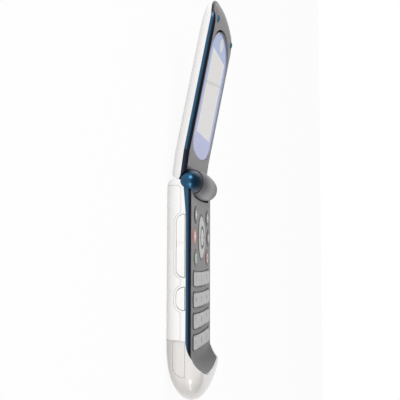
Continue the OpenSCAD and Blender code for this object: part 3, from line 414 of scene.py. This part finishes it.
# Painted shade: a dark edge round the select key.
edge = round_the_middle(select_silver, select_half).ramp(0.72, 0.95)
colour = select_silver.mix(edge * 0.95, select_silver.top, srgb(44, 40, 44))
select_silver.set("Base Color", colour)
select_silver.on("select_key")
key_plastic("key_pink", srgb(244, 176, 170), srgb(238, 164, 158), 0.6).on("clear_key")
key_plastic("key_green", srgb(190, 205, 192), srgb(178, 198, 182), 0.85).on("send_key")
key_plastic("key_red", srgb(222, 186, 182), srgb(216, 170, 166), 0.85).on("end_key")
# Painted shade: the mat is made dark so that the gaps between the keys look shaded.
keymat_rubber = key_plastic("keymat_rubber", srgb(62, 60, 62), srgb(50, 48, 50))
keymat_rubber.on("keymat", "nav_web")


# ---------------------------------------------------------------------------------------------
# Key legends: digits, call symbols and pointers, pad-printed on the crowned keys.
# Each is cut from a flat mesh and laid on its own key, so that it moves with it.
# ---------------------------------------------------------------------------------------------
print_lift = 0.015 * mm
print_grid = 0.35 * mm
capital_share = 0.72
grey_ink = key_plastic("ink_grey", srgb(58, 58, 64), srgb(46, 46, 52))
white_ink = key_plastic("ink_white", srgb(240, 240, 238), srgb(232, 232, 230))
red_ink = key_plastic("ink_red", srgb(176, 72, 72), srgb(160, 62, 62))
green_ink = key_plastic("ink_green", srgb(70, 140, 90), srgb(60, 126, 80))


def lay_on_key(shape, name, key, ink, offset):
    """Makes a flat bmesh round the origin into a print on top of a key, offset from its middle."""
    low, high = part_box(key)
    spot = (low + high) / 2 + Vector((*offset, 0)) * mm
    bmesh.ops.translate(shape, vec=(spot.x, spot.y, 0), verts=shape.verts)
    for axis in (0, 1):
        normal = Vector((0, 0, 0))
        normal[axis] = 1
        reach = [vert.co[axis] for vert in shape.verts]
        for step in range(1, int((max(reach) - min(reach)) / print_grid) + 1):
            cut = normal * (min(reach) + step * print_grid)
            everything = shape.verts[:] + shape.edges[:] + shape.faces[:]
            bmesh.ops.bisect_plane(shape, geom=everything, plane_co=cut, plane_no=normal)
    top = BVHTree.FromObject(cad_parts[key], bpy.context.evaluated_depsgraph_get())
    for vert in shape.verts:
        hit = top.ray_cast(Vector((vert.co.x, vert.co.y, 1)), Vector((0, 0, -1)))[0]
        vert.co.z = (hit.z if hit else high.z) + print_lift
    bmesh.ops.triangulate(shape, faces=shape.faces)
    mesh = bpy.data.meshes.new(name)
    shape.to_mesh(mesh)
    shape.free()
    mesh.materials.append(ink.material)
    mark = in_scene(name, mesh)
    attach(mark, key)


def digit(text, height):
    """A flat bmesh of one printed character, round the origin."""
    words = bpy.data.curves.new("digit", "FONT")
    words.body = text
    words.size = height * mm / capital_share
    words.resolution_u = 3
    words.align_x = "CENTER"
    words.align_y = "CENTER"
    source = in_scene("digit", words)
    built = source.evaluated_get(bpy.context.evaluated_depsgraph_get())
    mesh = bpy.data.meshes.new_from_object(built)
    bpy.data.objects.remove(source)
    shape = bmesh.new()
    shape.from_mesh(mesh)
    bpy.data.meshes.remove(mesh)
    return shape


digit_height, digit_x = 2.7, -1.4
for key, text in zip(number_keys, "123456789*0#"):
    spot = (digit_x, -0.7 if text == "*" else 0.1)
    lay_on_key(digit(text, digit_height), "digit_" + key, key, grey_ink, spot)


def turn_print(shape, turn):
    """Turns a flat bmesh about the origin."""
    spin = Matrix.Rotation(turn, 3, "Z")
    bmesh.ops.rotate(shape, cent=(0, 0, 0), matrix=spin, verts=shape.verts)


def handset(turn):
    """A telephone receiver: a bowed grip with an ear cup at both ends."""
    grip_radii, cup_radius, cup_x, cup_y = (1.25, 1.75), 0.42, 1.12, 0.78
    shape = bmesh.new()
    grip = [shape.verts.new((0, radius * mm, 0)) for radius in grip_radii]
    grip.append(shape.edges.new(grip))
    bow = math.radians(100)
    bmesh.ops.spin(shape, geom=grip, cent=(0, 0, 0), axis=(0, 0, 1), angle=bow, steps=10)
    turn_print(shape, -bow / 2)
    for x in (-cup_x, cup_x):
        cup = bmesh.ops.create_circle(shape, cap_ends=True, segments=12, radius=cup_radius * mm)
        bmesh.ops.translate(shape, vec=(x * mm, cup_y * mm, 0), verts=cup["verts"])
    bmesh.ops.translate(shape, vec=(0, -1.1 * mm, 0), verts=shape.verts)
    turn_print(shape, turn)
    return shape


lay_on_key(handset(math.radians(30)), "call_symbol", "send_key", green_ink, (0, 0))
lay_on_key(handset(0), "hang_up_symbol", "end_key", red_ink, (0, 0))


def bar(width, height):
    """A printed dash."""
    shape = bmesh.new()
    bmesh.ops.create_grid(shape, x_segments=4, y_segments=1, size=0.5)
    bmesh.ops.scale(shape, vec=(width * mm, height * mm, 1), verts=shape.verts)
    return shape


def pointer(turn):
    """A small triangle."""
    shape = bmesh.new()
    bmesh.ops.create_circle(shape, cap_ends=True, segments=3, radius=0.75 * mm)
    turn_print(shape, turn)
    return shape


for key in ("softkey_left", "softkey_right"):
    lay_on_key(bar(2.4, 0.45), "dash_" + key, key, white_ink, (0, 0))
lay_on_key(bar(2.6, 0.4), "dash_clear", "clear_key", white_ink, (0, 0))
lay_on_key(pointer(0), "pointer_voice", "voice_key", white_ink, (0, 0))
out_x, out_y = 5.7, 7.6
pointer_spots = {"up": (0, out_y), "left": (-out_x, 0), "down": (0, -out_y), "right": (out_x, 0)}
for quarter, (name, spot) in enumerate(pointer_spots.items()):
    lay_on_key(pointer(quarter * math.pi / 2), "pointer_" + name, "nav_ring", red_ink, spot)
lay_on_key(bar(2.2, 0.4), "dash_select", "select_key", red_ink, (0, 0))


# ---------------------------------------------------------------------------------------------
# Display: a hard-coated plastic window over the display module, glued into the frame's recess.
# Its border is light periwinkle with a plain pale oval, and the idle screen glows pale grey.
# ---------------------------------------------------------------------------------------------
screen_middle, screen_width, screen_height = 40.7, 29.6, 37
side_border, top_border = 3.1, 1.6
reflection_reach, reflection_slope = 46.4, 0.165
oval_middle, oval_half = (0.8, 64.5), (3.7, 2.9)
tint_top, tint_foot = 56, 22
rim_from, rim_to = 19.6, 20.5
window = Finish("printed_window", srgb(150, 168, 216), Coat_Weight=0.12, Coat_Roughness=0.04)
reach = along_lid(window)
smear = window.noise(6.0, 2.0)
tint = window.mix(reach.ramp(tint_top, tint_foot), srgb(142, 164, 216), srgb(160, 168, 220))
# Painted highlight: the window's bevelled side edges are painted paler.
rim = abs(window.x).ramp(rim_from, rim_to)
tint = window.mix(rim * 0.55, tint, srgb(214, 215, 236))
# Painted reflection: a faint slanted line across the border and the screen.
painted_reflection_line = abs(reach - window.x * reflection_slope - reflection_reach).ramp(0.9, 0.3)
tint = window.mix(painted_reflection_line * 0.5, tint, srgb(136, 150, 190))
oval_x = (window.x - oval_middle[0]) * (1 / oval_half[0])
oval_y = (reach - oval_middle[1]) * (1 / oval_half[1])
oval = (oval_x * oval_x + oval_y * oval_y).ramp(1.15, 0.9)
tint = window.mix(oval, tint, srgb(205, 211, 217))

from_side = screen_width / 2 - abs(window.x)
from_middle = reach - screen_middle
inside = (from_side & (screen_height / 2 - abs(from_middle))).ramp(-0.1, 0.1)
picture = (from_side - side_border) & (screen_height / 2 - top_border - from_middle)
glow = window.mix(picture.ramp(-0.2, 0.2), srgb(226, 224, 217), srgb(222, 220, 218))
# Painted shade: a faint grey line round the picture's edge, where the display's recess lies under
# the window.
glow = window.mix(abs(picture).ramp(0.35, 0.1) * 0.35, glow, srgb(196, 196, 196))
# Painted reflection: the same slanted line, greyer on the screen.
glow = window.mix(painted_reflection_line * 0.75, glow, srgb(188, 188, 187))
window.set("Base Color", window.mix(inside, tint, glow))
window.set("Roughness", 0.16 + smear * 0.06)
window.on("display_window")

screen = Finish("display_panel", srgb(222, 220, 216))
pixels = screen.noise(0.12, 0.0)
screen.set("Base Color", screen.mix(pixels * 0.4, srgb(226, 224, 220), srgb(216, 214, 211)))
screen.set("Roughness", 0.36 + pixels * 0.1)
screen.on("display_module")

gauze = Finish("black_gauze", srgb(22, 20, 22), Specular_IOR_Level=0.2)
weave = gauze.noise(0.25, 1.0)
gauze.set("Base Color", gauze.mix(weave, srgb(26, 22, 24), srgb(10, 10, 12)))
gauze.set("Roughness", 0.7 + weave * 0.2)
gauze.relief(weave, 0.02)
gauze.on("ear_mesh")


# ---------------------------------------------------------------------------------------------
# Bumpers: two domes of teal rubber near the lid's tip, pressed into the display frame.
# The closed lid rests on them, and each covers a screw of the lid.
# ---------------------------------------------------------------------------------------------
rubber = Finish("teal_rubber", srgb(38, 98, 124), Specular_IOR_Level=0.4)
grain = rubber.noise(0.3, 3.0)
rubber.set("Base Color", rubber.mix(grain * 0.6, srgb(40, 102, 128), srgb(30, 82, 106)))
rubber.set("Roughness", 0.5 + grain * 0.2)
rubber.relief(grain, 0.01)
rubber.on("lid_bumpers")


# ---------------------------------------------------------------------------------------------
# Metal inside: hinge shafts, spring, cans, connector, motor and screws.
# Nickel-plated steel, drawn or turned, so its scratches run round or along the piece.
# ---------------------------------------------------------------------------------------------
def plain_metal(name, colour, low, roughness):
    """Bare metal with fine scratches."""
    steel = Finish(name, colour, Metallic=1.0)
    scratches = steel.noise(0.4, 3.0, squeeze=(0.2, 1, 1))
    steel.set("Base Color", steel.mix(scratches, colour, low))
    steel.set("Roughness", roughness + scratches * 0.15)
    steel.relief(scratches, 0.004)
    return steel


nickel = plain_metal("nickel_steel", srgb(198, 196, 190), srgb(168, 166, 162), 0.25)
nickel.on("hinge_shaft", "hinge_pin", "hinge_spring", "rf_shield", "sim_holder")
nickel.on("side_connector", "vibration_motor", "microphone", "dome_sheet")
screw_steel = plain_metal("dark_screw_steel", srgb(120, 118, 116), srgb(96, 94, 92), 0.3)
screw_steel.on("housing_screws", "lid_screws")


# ---------------------------------------------------------------------------------------------
# Plastic inside: hinge capsule, sound parts, antenna carrier, battery, board and ribbon.
# All are matt mouldings or laminates in the colours that such pieces have, out of sight.
# ---------------------------------------------------------------------------------------------
def inner_plastic(name, colour, low, roughness=0.55):
    """Matt, lightly grained plastic."""
    plastic = Finish(name, colour)
    grain = plastic.noise(0.5, 3.0)
    plastic.set("Base Color", plastic.mix(grain, colour, low))
    plastic.set("Roughness", roughness + grain * 0.15)
    plastic.relief(grain, 0.01)
    return plastic


black_plastic = inner_plastic("black_plastic", srgb(34, 34, 36), srgb(26, 26, 28))
black_plastic.on("earpiece", "ringer", "hinge_capsule")
inner_plastic("antenna_plastic", srgb(196, 178, 120), srgb(180, 160, 100)).on("antenna")
inner_plastic("battery_wrap", srgb(70, 74, 80), srgb(58, 62, 68), 0.4).on("battery")
inner_plastic("ribbon_film", srgb(196, 128, 48), srgb(176, 108, 36), 0.35).on("hinge_flex")
inner_plastic("board_green", srgb(22, 84, 54), srgb(14, 66, 42), 0.35).on("circuit_board")


# ---------------------------------------------------------------------------------------------
# Studio: a white table in a white room, lit by three softboxes off the phone's left side.
# Table and room show as white paper to the camera, and the table keeps the phone's shadow.
# ---------------------------------------------------------------------------------------------
white = (1, 1, 1, 1)
paper_white = 0.93
floor_mesh = bpy.data.meshes.new("floor")
sheet = bmesh.new()
bmesh.ops.create_grid(sheet, x_segments=1, y_segments=1, size=6)
bmesh.ops.translate(sheet, vec=(0, 0, -0.02 * mm), verts=sheet.verts)
sheet.to_mesh(floor_mesh)
sheet.free()
in_scene("floor", floor_mesh)
paper = Finish("white_paper", (0.8, 0.8, 0.8, 1), Roughness=0.9, Specular_IOR_Level=0)
lit = Value(paper, paper.shader.outputs[0])
shine = paper.node("ShaderNodeEmission", {}, {"Color": white, "Strength": 1})
share = (paper.ray("Is Camera Ray") | paper.ray("Is Glossy Ray")) * paper_white
surface = paper.node("ShaderNodeMixShader", {}, {0: share, 1: lit, 2: shine})
paper.plug(paper.tree.nodes["Material Output"].inputs["Surface"], surface)
floor_mesh.materials.append(paper.material)

# The room's light greys towards the chin, and its gloss greys overhead
world = bpy.data.worlds.new("white_room")
bpy.context.scene.world = world
room = Shading(world)
direction = room.apart(room.node("ShaderNodeTexCoord", {}, {}, out="Generated"))
endward = direction[1].ramp(-1, 0.3, "LINEAR") * 0.5 + 0.35
overhead = 1 - direction[2].ramp(0.1, 0.75) * 0.88
level = endward + room.ray("Is Glossy Ray") * (overhead - endward)
background = room.tree.nodes["Background"]
room.plug(background.inputs["Color"], level)
room.plug(background.inputs["Strength"], 1)
light = Value(room, background.outputs[0])
seen = room.node("ShaderNodeBackground", {}, {"Color": white, "Strength": 1})
share = room.ray("Is Camera Ray") | room.ray("Is Transmission Ray")
surface = room.node("ShaderNodeMixShader", {}, {0: share, 1: light, 2: seen})
room.plug(room.tree.nodes["World Output"].inputs["Surface"], surface)


def softbox(name, direction, distance, width, height, power):
    """A lamp this far off in a direction, facing the hinge."""
    lamp = bpy.data.lights.new(name, "AREA")
    lamp.shape = "RECTANGLE"
    lamp.size = width
    lamp.size_y = height
    lamp.energy = power
    box = in_scene(name, lamp)
    away = Vector(direction).normalized()
    box.location = Vector((0, hinge_y, hinge_z)) * mm + away * distance
    box.rotation_mode = "QUATERNION"
    box.rotation_quaternion = away.to_track_quat("Z", "Y")


softbox("upper_softbox", (-0.669, 0.651, 0.359), 0.8, 0.34, 0.34, 3.2)
softbox("lower_softbox", (-0.712, -0.64, 0.289), 0.8, 0.3, 0.3, 1.2)
softbox("chin_softbox", (-0.48, -0.86, 0.2), 0.8, 0.62, 0.12, 0.9)
